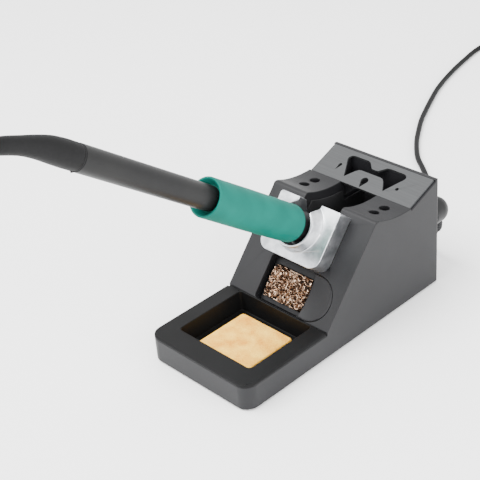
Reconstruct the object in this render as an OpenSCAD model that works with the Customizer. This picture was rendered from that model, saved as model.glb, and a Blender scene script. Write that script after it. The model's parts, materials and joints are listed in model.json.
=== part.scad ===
// Bench stand for a soldering iron, with the iron resting in its holder.
// +X is right, +Y is the back, +Z is up. The origin is the middle of the
// footprint, on the table.

/* [Stand body] */
// Width of the stand
stand_w = 80; // [78:1:100]
// Length of the stand, front to back
stand_l = 167; // [160:1:205]
// Height of the back edge
stand_h = 73.2; // [66:0.2:90]
// Wall of the moulded casing
wall = 2.4; // [1.8:0.1:3]
// Height of the casing's front box, up to the tray's lip
deck_h = 16; // [14:0.5:20]
// Radius of the front corners, seen from above
front_r = 8; // [4:0.5:10]
// Radius of the back corners, seen from above
back_r = 2; // [1:0.5:4]
// Distance from the front to the foot of the sloping face
face_y = 65; // [60:1:70]
// Angle of the sloping face to the table
face_angle = 49.3; // [46:0.1:52]
// Radius of the hollow across the two platforms
dip_r = 64; // [55:1:80]
// Radius of the edge between face and platforms
brow_r = 3; // [1:0.5:5]
// Width of the open channel between the platforms
channel_w = 28; // [24:0.5:30]
// Height of the channel's floor
channel_floor_h = 24; // [22:0.5:30]

/* [Tip plate] */
// Thickness of the metal plate
plate_t = 1.5; // [1:0.1:2]
// Depth of the plate along its slope
plate_d = 24.4; // [22:0.2:26]
// Slope of the plate
plate_angle = 21; // [16:0.5:24]
// Margin of casing left at each side of the plate
plate_margin = 1.3; // [1:0.1:3]
// Thickness of the rim behind the plate
rim_t = 3.7; // [3:0.1:5]

/* [Spare tip holes] */
// Diameter of each hole
spare_d = 6.2; // [5.5:0.1:7]
// Depth of each hole
spare_depth = 34; // [25:1:38]
// Distance of the holes from the middle
spare_x = 27.4; // [24:0.2:30]
// Distance between the two holes of a pair
spare_pitch = 9.4; // [8.5:0.1:11]

/* [Sponge tray] */
// Thickness of the tray's lip
tray_lip_t = 2; // [1.5:0.1:3]
// Width of the lip at each side
tray_rim_side = 11; // [9:0.5:13]
// Width of the lip at the front
tray_rim_front = 14; // [12:0.5:16]
// Wall of the tray's tub
tray_wall = 1.6; // [1.2:0.1:2.4]
// Side of the square sponge
sponge_w = 41; // [34:1:42]
// Thickness of the sponge
sponge_t = 5.6; // [4:0.2:9]

/* [Brass wool window] */
// Left edge of the window
window_x0 = -18.5; // [-19:0.1:-17]
// Right end of the window
window_x1 = 34.3; // [30:0.1:35]
// Height of the window along the face
window_d = 28; // [26:0.1:28.4]
// Depth of the wool insert
insert_depth = 13; // [11:0.5:13.5]
// Wall of the wool insert
insert_wall = 1.2; // [1:0.1:1.6]
// Half the width of the wool pocket
wool_half_w = 15.3; // [13:0.1:16]

/* [Iron holder] */
// Width of the cast holder
holder_w = 46.4; // [42:0.2:50]
// How far the holder stands out of the face
holder_t = 11.5; // [10:0.1:13]
// Lower edge of the holder, along the face
holder_low = 28.8; // [28.4:0.1:31]
// Upper edge of the holder, along the face
holder_high = 65; // [63:0.1:66]
// Width of the slot in the holder's top
slot_w = 17; // [14:0.2:18]
// Radius of the spout's foot, where it meets the holder's front
spout_r = 16.7; // [16:0.1:17]
// How far the spout stands out of the face, along the iron
spout_reach = 18.3; // [17:0.1:18.6]

/* [Iron] */
// Rise of the iron's axis above the table
iron_angle = 36.5; // [34:0.5:40]
// Where the iron's axis meets the face, along the face
iron_on_face = 49.8; // [48:0.1:51]
// Diameter of the handle's shaft
shaft_d = 14.2; // [13:0.1:15]
// Diameter of the foam grip
grip_d = 22.5; // [20:0.5:24]
// Length of the foam grip
grip_l = 77; // [60:1:85]
// Distance from the face to the grip's nose, along the iron
grip_start = 20; // [18:0.5:24]
// Distance from the face to the end of the shaft, along the iron
shaft_end = 189; // [170:1:200]
// Diameter of the heater cartridge
cartridge_d = 5.6; // [5:0.1:6]
// How far the tip reaches behind the face
tip_reach = 40; // [30:1:44]

/* [Lead] */
// Diameter of the rear lead
lead_d = 4; // [4:0.1:5]
// Distance of the gland from the middle
gland_x = 28; // [24:0.5:30]
// Height of the gland
gland_z = 42; // [36:0.5:46]
// Mean diameter of the stored coil
coil_d = 44; // [40:1:48]

/* [Hidden] */

$fn = 48;
eps = 0.01;
fit_gap = 0.2;        // between pieces that are screwed or dropped in place
slide_gap = 0.4;      // round pieces that lift out
foot_h = 1;           // the feet hold the casing this far off the table
base_t = 1.6;         // base plate
deck_t = 2;           // casing's ledge under the tray's lip
front = -stand_l / 2; // y of the front edge
back = stand_l / 2;   // y of the back edge
deck_top = deck_h + tray_lip_t;

// plate: its lower front corner and its upper back corner, on its top side
plate_back_y = stand_l - rim_t;
plate_low_y = plate_back_y - plate_d * cos(plate_angle);
plate_low_z = stand_h - plate_d * sin(plate_angle);
dip_y = plate_low_y - fit_gap - 3.5;
dip_z = plate_low_z + dip_r;

// point at the distance l up the face
function face_at(l) = [face_y + l * cos(face_angle), deck_top + l * sin(face_angle)];
// where a line from p, sloped as the face, meets the platforms' arc of radius r
function up_to_arc(p, r) =
    let (d = [cos(face_angle), sin(face_angle)],
         m = p - [dip_y, dip_z],
         b = m * d)
    p + d * (-b - sqrt(b * b - (m * m - r * r)));

// points of an arc of radius r that rounds corner b between a and c
function unit(v) = v / norm(v);
function round_corner(a, b, c, r, n = 6) =
    let (u = unit(a - b),
         w = unit(c - b),
         half = acos(u * w) / 2,
         reach = r / tan(half),
         mid = b + unit(u + w) * r / sin(half),
         s = b + u * reach - mid,
         e = b + w * reach - mid,
         turn = 180 - 2 * half,
         side = sign(s[0] * e[1] - s[1] * e[0]))
    [for (i = [0:n])
        let (t = side * turn * i / n)
        mid + [s[0] * cos(t) - s[1] * sin(t), s[0] * sin(t) + s[1] * cos(t)]];

// a rectangle from p to q whose corners have the radii r, anticlockwise
// from the lower left one
function round_rect(p, q, r, n = 8) =
    let (c = [p, [q[0], p[1]], q, [p[0], q[1]]])
    [for (i = [0:3])
        for (t = round_corner(c[(i + 3) % 4], c[i], c[(i + 1) % 4], max(r[i], eps), n)) t];

// platform surface at the distance y from the front
function dip_at(y) = dip_z - sqrt(pow(dip_r, 2) - pow(y - dip_y, 2));

// sheet of the side view, measured from the front
module side_extrude(w, x = 0) {
    translate([x, front, 0]) rotate([90, 0, 90])
        linear_extrude(w, center = true) children();
}

// local x is right, local y is up along the face, local z is outwards
module on_face() {
    translate([0, front + face_y, deck_top]) rotate([face_angle, 0, 0]) children();
}

// local x is right, local y is up along the plate, local z is outwards
module on_plate() {
    translate([0, front + plate_low_y, plate_low_z]) rotate([plate_angle, 0, 0]) children();
}

// local z runs out along the iron from where its axis meets the face
module on_iron() {
    p = face_at(iron_on_face);
    translate([0, front + p[0], p[1]]) rotate([90 - iron_angle, 0, 0]) children();
}

// local z is backwards, out of the back wall at the gland
module at_gland() {
    translate([gland_x, back, gland_z]) rotate([-90, 0, 0]) children();
}

// tube between two radii, from height a to height b
module tube(r_out, r_in, a, b) {
    translate([0, 0, a]) difference() {
        cylinder(r = r_out, h = b - a);
        translate([0, 0, -1]) cylinder(r = r_in, h = b - a + 2);
    }
}

// countersunk screw whose head's face is at z = 0 and that runs down -z
module countersunk(r, head_r, length) {
    rotate_extrude() polygon([
        [0, 0], [head_r, 0], [r, r - head_r], [r, -length + 0.5], [r - 0.5, -length], [0, -length]
    ]);
}

// pan head screw whose head sits under z = 0 and that runs up +z
module pan_screw(r, head_r, head_h, length) {
    rotate_extrude() polygon([
        [0, -head_h], [head_r * 0.75, -head_h], [head_r, -head_h * 0.5], [head_r, 0],
        [r, 0], [r, length - 0.5], [r - 0.5, length], [0, length]
    ]);
}

// ---------- casing ----------

tub_x = stand_w / 2 - tray_rim_side;      // half the tray's opening
tub_y0 = tray_rim_front;
tub_y1 = face_y - 1.2;
seat_drop = plate_t;
seat_y = plate_low_y + seat_drop * sin(plate_angle);
seat_z = plate_low_z - seat_drop * cos(plate_angle);
seat_back_y = plate_back_y + seat_drop * sin(plate_angle) + fit_gap;
function seat_at(y) = [y, seat_z + (y - seat_y) * tan(plate_angle)];

// points of the platforms' arc of radius r, from its lowest forward to y0
function dip_points(r, y0, n = 14) =
    [for (i = [0:n])
        let (y = dip_y + (y0 - dip_y) * i / n)
        [y, dip_z - sqrt(r * r - pow(y - dip_y, 2))]];

// the casing's side view, measured from the front
module body_outline() {
    brow = up_to_arc(face_at(0), dip_r);
    near = [brow[0] + brow_r * 2, dip_at(brow[0] + brow_r * 2)];
    polygon(concat(
        [[0, foot_h], [stand_l, foot_h], [stand_l, stand_h - 0.8], [stand_l - 0.8, stand_h],
         [plate_back_y + fit_gap, stand_h], seat_at(seat_back_y), seat_at(seat_y - fit_gap),
         [plate_low_y - fit_gap, plate_low_z]],
        dip_points(dip_r, near[0]),
        round_corner(near, brow, face_at(0), brow_r),
        [face_at(0), [face_y, deck_h], [0, deck_h]]
    ));
}

// the hollow inside it, behind the bulkhead
module cavity_outline() {
    in0 = face_at(0) + [wall / sin(face_angle), 0];
    top = up_to_arc(in0, dip_r + wall);
    polygon(concat(
        [[face_y + wall, -1], [stand_l - wall, -1],
         seat_at(stand_l - wall) - [0, wall * 1.2 + 0.8], seat_at(seat_y) - [0, wall * 1.2]],
        dip_points(dip_r + wall, top[0]),
        [in0, [face_y + wall, deck_top]]
    ));
}

// the open channel behind the holder, grown by g all round
module channel_outline(g = 0) {
    top = stand_h + 30;
    a = face_at(iron_on_face - 10.8 - g);
    run = (a[1] - channel_floor_h + g) / cos(face_angle);
    foot = a + run * [sin(face_angle), -cos(face_angle)];
    out = a + 20 * [-sin(face_angle), cos(face_angle)];
    polygon([
        out, a, foot, [plate_back_y - 2.5 + g, channel_floor_h - g],
        [plate_back_y - 2.5 + g, top], [out[0], top]
    ]);
}

// the wool window's outline on the face, shrunk by g
module window_shape(g = 0) {
    r = window_d / 2 - 0.1 - g;
    polygon(round_rect([window_x0 + g, g], [window_x1 - g, window_d - g],
        [max(2 - g, 0.4), r, r, max(2 - g, 0.4)], 10));
}

// catch pocket under the tip plate, grown by g all round
pocket_w = 48;
pocket_deep = 11;
module pocket(g = 0) {
    low = plate_low_z - pocket_deep - g;
    y0 = plate_low_y + 3 - g;
    y1 = plate_back_y - 2.5 + g;
    side_extrude(pocket_w + 2 * g)
        polygon([[y0, low], [y1, low], [y1, stand_h + 5], [y0, stand_h + 5]]);
}

// the holes take tips of four lengths, so each is a step shallower than the last
spare_step = 0.8;
spare_ys = [plate_low_y - 9 - spare_pitch, plate_low_y - 9];
module at_spare_bottoms() {
    for (i = [0:1], k = [0:1])
        translate([(2 * i - 1) * spare_x, front + spare_ys[k],
                   plate_low_z - spare_depth + spare_step * (2 * i + k)]) children();
}

base_screw_y = [9, stand_l - 12];
module at_base_screws() {
    for (x = [-1, 1], y = base_screw_y)
        translate([x * (stand_w / 2 - wall - 3.2), front + y, 0]) children();
}

holder_screw_x = 19.6;
holder_screw_l = [holder_low + 7.5, holder_high - 6];
module at_holder_screws() {
    on_face() for (x = [-1, 1], l = holder_screw_l)
        translate([x * holder_screw_x, l, 0]) children();
}

plate_screw_x = 31;
plate_boss = 12;
module at_plate_screws() {
    on_plate() for (x = [-1, 1]) translate([x * plate_screw_x, plate_d / 2, 0]) children();
}

// the footprint shrunk by g and cut off at y_end, from height a to height b
module plan(g, y_end, a, b) {
    rear = y_end < face_y + g ? eps : max(back_r - g, 0.4);
    translate([0, front, a]) linear_extrude(b - a)
        polygon(round_rect([-stand_w / 2 + g, g], [stand_w / 2 - g, y_end],
            [front_r - g, front_r - g, rear, rear]));
}

module casing() {
    color("#4b4b4d") difference() {
        // outside
        intersection() {
            side_extrude(stand_w) body_outline();
            plan(0, stand_l, 0, stand_h + 1);
        }
        // hollow behind the bulkhead, around what is moulded in
        difference() {
            side_extrude(stand_w - 2 * wall) cavity_outline();
            side_extrude(channel_w + 2 * wall) channel_outline(wall);
            pocket(2);
            at_spare_bottoms() translate([0, 0, -2]) cylinder(r = spare_d / 2 + 1.8, h = 80);
            at_base_screws() translate([0, 0, foot_h + base_t + fit_gap])
                cylinder(r = 3.4, h = 14);
            at_plate_screws() translate([0, 0, -plate_boss]) cylinder(r = 3.2, h = plate_boss);
            on_face() translate([0, 0, -insert_depth - wall])
                linear_extrude(insert_depth + wall) window_shape(-wall);
        }
        // hollow of the front box
        difference() {
            plan(wall, face_y, -1, deck_h - deck_t);
            at_base_screws() translate([0, 0, foot_h + base_t + fit_gap])
                cylinder(r = 3.4, h = 14);
        }
        // recess for the base plate
        plan(wall, stand_l - wall, -1, foot_h + base_t + fit_gap);
        // opening that the tray drops into
        translate([-tub_x - tray_wall - slide_gap, front + tub_y0 - tray_wall - slide_gap, 3])
            cube([2 * (tub_x + tray_wall + slide_gap),
                  face_y - tub_y0 + tray_wall + slide_gap, deck_h]);
        side_extrude(channel_w) channel_outline();
        pocket();
        on_face() translate([0, 0, -insert_depth]) linear_extrude(insert_depth + 3)
            window_shape();
        at_spare_bottoms() cylinder(r = spare_d / 2, h = 80);
        at_base_screws() cylinder(r = 1.25, h = foot_h + base_t + 11);
        at_holder_screws() translate([0, 0, -8]) cylinder(r = 1.7, h = 12);
        at_plate_screws() translate([0, 0, -plate_boss - 2]) cylinder(r = 1.6, h = plate_boss + 2);
        at_gland() translate([0, 0, -6]) cylinder(r = gland_thread_r + 0.15, h = 8);
    }
}

module base_plate() {
    color("#2d2d2f") difference() {
        plan(wall + fit_gap, stand_l - wall - fit_gap, foot_h, foot_h + base_t);
        at_base_screws() {
            translate([0, 0, -1]) cylinder(r = 1.3, h = 6);
            translate([0, 0, foot_h - eps]) cylinder(r1 = 2.5, r2 = 1.3, h = 1.2);
        }
    }
}

ballast_y = [80, stand_l - 24];
module ballast() {
    color("#8c8c8c") translate([-27, front + ballast_y[0], foot_h + base_t])
        cube([54, ballast_y[1] - ballast_y[0], 7]);
}

module base_screws() {
    color("#9a9a9a") at_base_screws() translate([0, 0, foot_h]) mirror([0, 0, 1])
        countersunk(1.2, 2.4, 9);
}

module feet() {
    out = stand_w / 2 - 13;
    rear = stand_l / 2 - 24;
    color("#1c1c1c") for (p = [[-out, -rear - 3], [out, -rear - 3], [0, 0], [-out, rear], [out, rear]])
        translate([p[0], p[1], 0]) rotate_extrude()
            polygon([[0, 0], [4.6, 0], [5, 0.4], [5, foot_h], [0, foot_h]]);
}

// ---------- sponge tray ----------

tub_floor = foot_h + base_t + 0.4;   // underside of the tub
tub_inside = tub_floor + 1.4;
sponge_cy = front + (tub_y0 + tub_y1) / 2 - 2.5;

module sponge_tray() {
    color("#2f2f31") difference() {
        union() {
            // lip with a rounded top edge
            for (s = [[0, 1.4], [0.6, 2]])
                translate([0, 0, deck_h]) linear_extrude(s[1] * tray_lip_t / 2)
                    translate([0, front]) polygon(round_rect(
                        [-stand_w / 2 + s[0], s[0]], [stand_w / 2 - s[0], face_y - fit_gap],
                        [front_r - s[0], front_r - s[0], 1.2, 1.2]));
            translate([0, 0, tub_floor]) linear_extrude(deck_h - tub_floor + eps)
                translate([0, front]) polygon(round_rect(
                    [-tub_x - tray_wall, tub_y0 - tray_wall],
                    [tub_x + tray_wall, face_y - fit_gap], [4, 4, 1, 1]));
        }
        translate([0, 0, tub_inside]) linear_extrude(deck_top)
            translate([0, front]) polygon(round_rect([-tub_x, tub_y0], [tub_x, tub_y1],
                [2.5, 2.5, 2, 2]));
        // notch at the back left corner of the lip
        translate([-stand_w / 2 - 1, front + face_y - 1.8, deck_h - 1]) cube([3, 3, 5]);
    }
}

module sponge() {
    color("#e8c98d") translate([0, sponge_cy, tub_inside]) linear_extrude(sponge_t)
        polygon(round_rect([-sponge_w / 2, -sponge_w / 2], [sponge_w / 2, sponge_w / 2],
            [2, 2, 2, 2]));
}

// ---------- brass wool ----------

wool_l = [3, window_d - 4.2];
ledge_depth = 5.5;    // of the insert's ledge round the wool
dish_depth = 3;       // of the shallow dish for a fingertip
dish_l = window_x1 - 1 - wool_half_w;
dish_r = (dish_l * dish_l + dish_depth * dish_depth) / (2 * dish_depth);
module wool_insert() {
    color("#4a4a4c") on_face() difference() {
        translate([0, 0, -insert_depth]) linear_extrude(insert_depth - fit_gap)
            window_shape(fit_gap + 0.1);
        translate([-wool_half_w, wool_l[0], -insert_depth + insert_wall])
            cube([2 * wool_half_w, wool_l[1] - wool_l[0], insert_depth + 1]);
        translate([wool_half_w - 60, -5, -ledge_depth]) cube([60, window_d + 10, ledge_depth + 1]);
        intersection() {
            translate([0, 0, -dish_depth - 1]) linear_extrude(dish_depth + 2) intersection() {
                window_shape(fit_gap + 0.6);
                translate([wool_half_w - eps, 0]) square([40, window_d]);
            }
            translate([wool_half_w, window_d / 2, dish_r - dish_depth]) sphere(dish_r, $fn = 96);
        }
    }
}

module brass_wool() {
    color("#a98672") on_face()
        translate([-wool_half_w + 0.4, wool_l[0] + 0.4, -insert_depth + insert_wall])
            cube([2 * wool_half_w - 0.8, wool_l[1] - wool_l[0] - 0.8,
                  insert_depth - insert_wall - 1]);
}

// ---------- iron holder ----------

collar_r = 9;
slot_from = iron_on_face + 1.5;       // lower end of the slot, along the face
hub_y = 104.2;                        // back of the casting, in the channel
hub_half_w = channel_w / 2 - 1.4;
hub_low = 46;
hub_top_z = deck_top + (hub_y - face_y) * tan(face_angle);
module iron_holder() {
    color("#c9cacc") difference() {
        union() {
            on_face() linear_extrude(holder_t) polygon(round_rect(
                [-holder_w / 2, holder_low], [holder_w / 2, holder_high], [7, 7, 1.5, 1.5]));
            // spout round the grip's nose, with a small fillet at its foot
            on_iron() rotate_extrude($fn = 96) polygon([
                [0, 6], [spout_r, 6], [spout_r, holder_t - 1.1], [spout_r - 0.8, holder_t + 0.1],
                [spout_r - 1.3, holder_t + 1.1], [spout_r - 1.6, holder_t + 2.1],
                [spout_r - 3, spout_reach - 0.9], [spout_r - 3.5, spout_reach - 0.2],
                [spout_r - 4.2, spout_reach], [0, spout_reach]
            ]);
            // hub behind the face, between the channel's walls
            side_extrude(2 * hub_half_w) polygon([
                face_at(hub_low) + [-0.5, 0], [hub_y, face_at(hub_low)[1]],
                [hub_y, hub_top_z], [hub_y - 0.5, hub_top_z]
            ]);
        }
        // mouth, ledge, bore and seat, along the iron's axis
        on_iron() rotate_extrude($fn = 96) polygon([
            [0, -14], [cartridge_d / 2 + 3.6, -14], [cartridge_d / 2 + 3.6, 0.6],
            [collar_r + 0.6, 4.2], [collar_r + 0.6, 8], [spout_r - 5.4, 9],
            [spout_r - 4.8, spout_reach - 0.4], [spout_r - 4.4, spout_reach + 1],
            [0, spout_reach + 1]
        ]);
        // slot that the tip passes through
        on_face() translate([-slot_w / 2, slot_from, -16]) cube([slot_w, 40, holder_t + 26]);
        // the casting's back is upright between the channel's walls
        side_extrude(channel_w) translate([hub_y, hub_top_z - 4]) square([20, 30]);
        at_holder_screws() translate([0, 0, -eps]) cylinder(r = 1.3, h = 7);
    }
}

washer_t = 0.6;
module holder_screws() {
    color("#b0b0b0") at_holder_screws() translate([0, 0, -wall - washer_t])
        pan_screw(1.25, 2.6, 1.8, wall + washer_t + 6);
}

// three screws have a washer, and the fourth holds the earth lug
module holder_washers() {
    color("#b0b0b0") on_face() for (p = [[-1, 0], [-1, 1], [1, 1]])
        translate([p[0] * holder_screw_x, holder_screw_l[p[1]], 0])
            tube(3, 1.45, -wall - washer_t, -wall);
}

// the liner is bent from thin black sheet and drops into the channel
liner_t = 0.8;
module heat_liner() {
    color("#101010") translate([0, 0, -fit_gap]) difference() {
        intersection() {
            side_extrude(channel_w - 2 * fit_gap) channel_outline(-fit_gap);
            side_extrude(stand_w) translate([2.5, -3.5]) cavity_outline();
        }
        side_extrude(channel_w - 2 * fit_gap - 2 * liner_t)
            channel_outline(-fit_gap - liner_t);
        pocket(2.2);
    }
}

// ---------- tip plate ----------

plate_w = stand_w - 2 * plate_margin;

// right half of the large opening, from the middle of its top edge round
crown_half = [
    [0, 16.2], [2.5, 16.4], [4.6, 18.6], [6.6, 20.5], [8.5, 21], [19, 21], [21.3, 20.3],
    [22.4, 18.6], [22, 16.8], [18.8, 11], [15.2, 4.2], [13, 7.6], [11, 10.6],
    [9.2, 12.3], [7.4, 12.7], [0, 12.7]
];
function mirrored(pts) =
    concat(pts, [for (i = [len(pts) - 2:-1:1]) [-pts[i][0], pts[i][1]]]);

// round end of radius r at the top and a point below it
module teardrop(r, drop) {
    polygon(concat([[0, -drop]], [for (t = [-20:20:200]) r * [cos(t), sin(t)]]));
}

module tip_plate() {
    color("#8a8a8a") on_plate() difference() {
        translate([-plate_w / 2, 0, -plate_t]) cube([plate_w, plate_d, plate_t]);
        translate([0, 0, -plate_t - 1]) linear_extrude(plate_t + 2) {
            polygon(mirrored(crown_half));
            translate([-0.5, 6.6]) teardrop(2.4, 5.8);
            translate([-23.6, 11.4]) rotate(-8) teardrop(1.1, 4.8);
        }
        translate([22.6, 9.1, -plate_t - 1]) cylinder(r = 1.1, h = plate_t + 2);
        for (x = [-1, 1]) translate([x * plate_screw_x, plate_d / 2, -plate_t - eps])
            cylinder(r = 1.25, h = 1);
    }
}

module plate_screws() {
    color("#9a9a9a") at_plate_screws() translate([0, 0, -plate_boss])
        pan_screw(1.2, 2.6, 1.6, plate_boss - plate_t + 0.8);
}

// ---------- rear gland ----------

gland_thread_r = 6;
gland_hex = 17;      // across the corners
module gland_body() {
    color("#3a3a3c") at_gland() difference() {
        union() {
            translate([0, 0, -wall - 5]) cylinder(r = gland_thread_r, h = wall + 6);
            cylinder(d = gland_hex, h = 4, $fn = 6);
            translate([0, 0, 3]) cylinder(r = 6.2, h = 3);
        }
        translate([0, 0, -20]) cylinder(r = lead_d / 2 + 0.6, h = 40);
    }
}

module gland_locknut() {
    color("#3a3a3c") at_gland() difference() {
        translate([0, 0, -wall - 3.8]) cylinder(d = gland_hex, h = 3.8, $fn = 6);
        translate([0, 0, -wall - 9]) cylinder(r = gland_thread_r + 0.05, h = 12);
    }
}

// the cap is closed at the back, and the lead leaves through its underside
cap_r = 8.4;
outlet = [0, 0.42, -0.91];           // direction of the outlet
outlet_from = [gland_x, back + 11, gland_z - 1];
module gland_cap() {
    color("#5a5a5c") difference() {
        at_gland() rotate_extrude() polygon(concat(
            [[0, 4], [cap_r - 0.4, 4], [cap_r, 4.6], [cap_r, 11.6]],
            [for (t = [11.25:11.25:90]) [cap_r * cos(t), 11.6 + cap_r * sin(t)]]));
        at_gland() translate([0, 0, 3]) cylinder(r = 6.3, h = 3.1);
        at_gland() translate([0, 0, 5]) cylinder(r = 5.2, h = 9);
        translate(outlet_from) rotate([180 + atan2(outlet[1], -outlet[2]), 0, 0])
            cylinder(r = 3.7, h = 30);
    }
}

// ---------- swept tubes ----------

// smooth curve through hand-chosen points, n steps to each span
function spline(p, i, t) =
    let (a = p[max(i - 1, 0)], b = p[i], c = p[i + 1], d = p[min(i + 2, len(p) - 1)])
    0.5 * ((2 * b) + (c - a) * t + (2 * a - 5 * b + 4 * c - d) * t * t
        + (3 * b - a - 3 * c + d) * t * t * t);
function smooth(p, n) = concat(
    [for (i = [0:len(p) - 2]) for (j = [0:n - 1]) spline(p, i, j / n)], [p[len(p) - 1]]);

// direction of a path at point i
function heading(p, i) = unit(p[min(i + 1, len(p) - 1)] - p[max(i - 1, 0)]);

// closed tube of the radii r along the path p
module sweep(p, r, sides) {
    rings = [for (i = [0:len(p) - 1])
        let (h = heading(p, i),
             u = unit(cross(h, abs(h[2]) > 0.95 ? [0, 1, 0] : [0, 0, 1])),
             v = cross(h, u))
        [for (k = [0:sides - 1])
            let (t = 360 * (k + 0.5) / sides)
            p[i] + r[i] * (cos(t) * u + sin(t) * v)]];
    pts = [for (ring = rings) for (q = ring) q];
    last = (len(p) - 1) * sides;
    faces = concat(
        [[for (k = [0:sides - 1]) k]],
        [for (i = [0:len(p) - 2]) for (k = [0:sides - 1])
            let (a = i * sides + k, b = i * sides + (k + 1) % sides)
            [a, a + sides, b + sides, b]],
        [[for (k = [sides - 1:-1:0]) last + k]]);
    polyhedron(pts, faces, convexity = 6);
}

// strain relief that leaves the cap's underside and turns down to the table
boot_route = concat(
    [for (t = [0, 3.2, 6.4, 9.6]) outlet_from + t * outlet],
    [for (d = [[-0.6, 16, -13], [-1.8, 17.4, -16], [-3.6, 18.2, -18.6]])
        [gland_x + d[0], back + d[1], gland_z + d[2]]]);
module gland_boot() {
    p = smooth(boot_route, 3);
    n = len(p) - 1;
    color("#2c2c2e") sweep(p, [for (i = [0:n]) 3.5 - 0.9 * i / n], 16);
}

// ---------- wiring inside the stand ----------

// lug under the head of the holder's lower right screw
module earth_lug() {
    color("#c8a85a") on_face()
        translate([holder_screw_x, holder_screw_l[0], -wall - washer_t]) difference() {
            union() {
                cylinder(r = 3, h = washer_t);
                translate([0, -1.2, 0]) cube([6.5, 2.4, washer_t]);
            }
            translate([0, 0, -1]) cylinder(r = 1.45, h = 3);
        }
}

wire_route = [
    [25.6, 7.7, 43.3], [27.4, 8.4, 41.6], [27, 12, 37], [25, 20, 31], [24, 30, 25.5],
    [25, 45, 22], [27, 60, 26], [28, 70, 36], [28, 75, 41], [28, 80, 42], [28, 93, 42]
];
module inner_wire() {
    p = smooth(wire_route, 2);
    color("#b03030") sweep(p, [for (q = p) 0.8], 8);
}

// ---------- iron ----------

grip_end = grip_start + grip_l;
bore_r = shaft_d / 2 - 1.5;

module front_collar() {
    color("#1f2022") on_iron() difference() {
        rotate_extrude() polygon([
            [0, 0.8], [cartridge_d / 2 + 3.4, 0.8], [collar_r, 4.2], [collar_r, grip_start + 1],
            [bore_r, grip_start + 1], [bore_r, grip_start + 10], [0, grip_start + 10]
        ]);
        translate([0, 0, -1]) cylinder(r = cartridge_d / 2 + 0.1, h = 40);
    }
}

module handle_shaft() {
    color("#4d4d4d") on_iron() tube(shaft_d / 2, bore_r, grip_start + 1, shaft_end);
}

module foam_grip() {
    r = grip_d / 2;
    color("#42a093") on_iron() difference() {
        rotate_extrude() polygon(concat(
            [[0, grip_start]],
            [for (t = [-90:15:0]) [r - 2.2 + 2.2 * cos(t), grip_start + 2.2 + 2.2 * sin(t)]],
            [for (t = [0:22.5:90]) [r - 1 + cos(t), grip_end - 1 + sin(t)]],
            [[0, grip_end]]));
        translate([0, 0, grip_start - 1]) cylinder(r = collar_r, h = 2);
        translate([0, 0, grip_start]) cylinder(r = shaft_d / 2, h = grip_l + 2);
        // open lip at the back
        translate([0, 0, grip_end - 4])
            cylinder(r1 = shaft_d / 2, r2 = r - 1.6, h = 4 + eps);
    }
}

block_at = grip_start + 52;
module contact_block() {
    color("#e6e0cc") on_iron() tube(bore_r - 0.1, 1.6, block_at, block_at + 26);
}

module contact_springs() {
    color("#c8a85a") on_iron() for (z = [block_at - 12, block_at - 6])
        tube(cartridge_d / 2 + 1.1, cartridge_d / 2, z, z + 3);
}

tip_start = -tip_reach + 16;
module heater_tube() {
    color("#b9b9bb") on_iron() rotate_extrude() polygon([
        [0, tip_start], [cartridge_d / 2, tip_start], [cartridge_d / 2, block_at - 0.2],
        [0, block_at - 0.2]
    ]);
}

module soldering_tip() {
    color("#cfcfd2") on_iron() rotate_extrude() polygon([
        [0, -tip_reach], [0.5, -tip_reach + 0.4], [1.6, -tip_reach + 8],
        [2.2, -tip_reach + 10], [2.2, tip_start], [0, tip_start]
    ]);
}

// the seam between shaft and boot
boot_start = shaft_end + 1;
module boot_ring() {
    color("#232325") on_iron() difference() {
        rotate_extrude() polygon([
            [0, shaft_end - 8], [bore_r - 0.05, shaft_end - 8], [bore_r - 0.05, shaft_end],
            [shaft_d / 2 - 0.2, shaft_end], [shaft_d / 2 - 0.2, boot_start], [0, boot_start]
        ]);
        translate([0, 0, shaft_end - 9]) cylinder(r = 3, h = 20);
    }
}

// the rubber boot bends from the iron's axis towards the level; each point is
// its fall below the axis and its distance along it
boot_bend = [[0, 0], [0, 4], [0, 8], [0.2, 16], [1, 24], [2.4, 32], [4.4, 40], [7, 48], [10.2, 56]];
boot_girth = [[0, 7], [16, 6.6], [30, 4.8], [40, 4.4], [56, 3.8]];
module cable_boot() {
    p = smooth([for (b = boot_bend) [0, -b[0], boot_start + b[1]]], 2);
    n = len(p) - 1;
    color("#404040") on_iron() difference() {
        sweep(p, [for (q = p) lookup(q[2] - boot_start, boot_girth)], 24);
        translate(p[n]) rotate([acos(heading(p, n)[2]), 0, 0])
            translate([0, 0, -6]) cylinder(r = 2.4, h = 8);
    }
}

// ---------- lead ----------

// middle of the stored coil
coil_x = -126;
coil_y = 424;
lead_z = 2.2;
lead_route = [
    [24.4, 101.7, 23.4], [21.8, 102.8, 18.6], [18, 105, 13.4], [13, 108.6, 8.8], [7, 114, 5],
    [0, 121.4, 3], [-7, 130.4, lead_z], [-15, 144, lead_z], [-26, 161, lead_z],
    [-39, 176, lead_z], [-54, 189.5, lead_z], [-69, 202, lead_z], [-84, 220, lead_z],
    [-96, 238, lead_z], [-105, 253, lead_z], [-113, 269, lead_z], [-121, 286, lead_z],
    [-129, 304, lead_z], [-136, 324, lead_z], [-142, 345, lead_z], [-147, 367, lead_z],
    [-151, 388, lead_z], [-152, 412, lead_z]
];

module lead_tube() {
    p = smooth(lead_route, 2);
    color("#3c3c3e") sweep(p, [for (q = p) lead_d / 2], 8);
}

module lead_coil() {
    color("#3c3c3e") translate([coil_x, coil_y, 0]) rotate_extrude()
        polygon(round_rect([coil_d / 2 - 1.5 * lead_d, 0.2],
            [coil_d / 2 + 1.5 * lead_d, 2 * lead_d + 0.2], [1.5, 1.5, 1.5, 1.5], 3));
}

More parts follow.
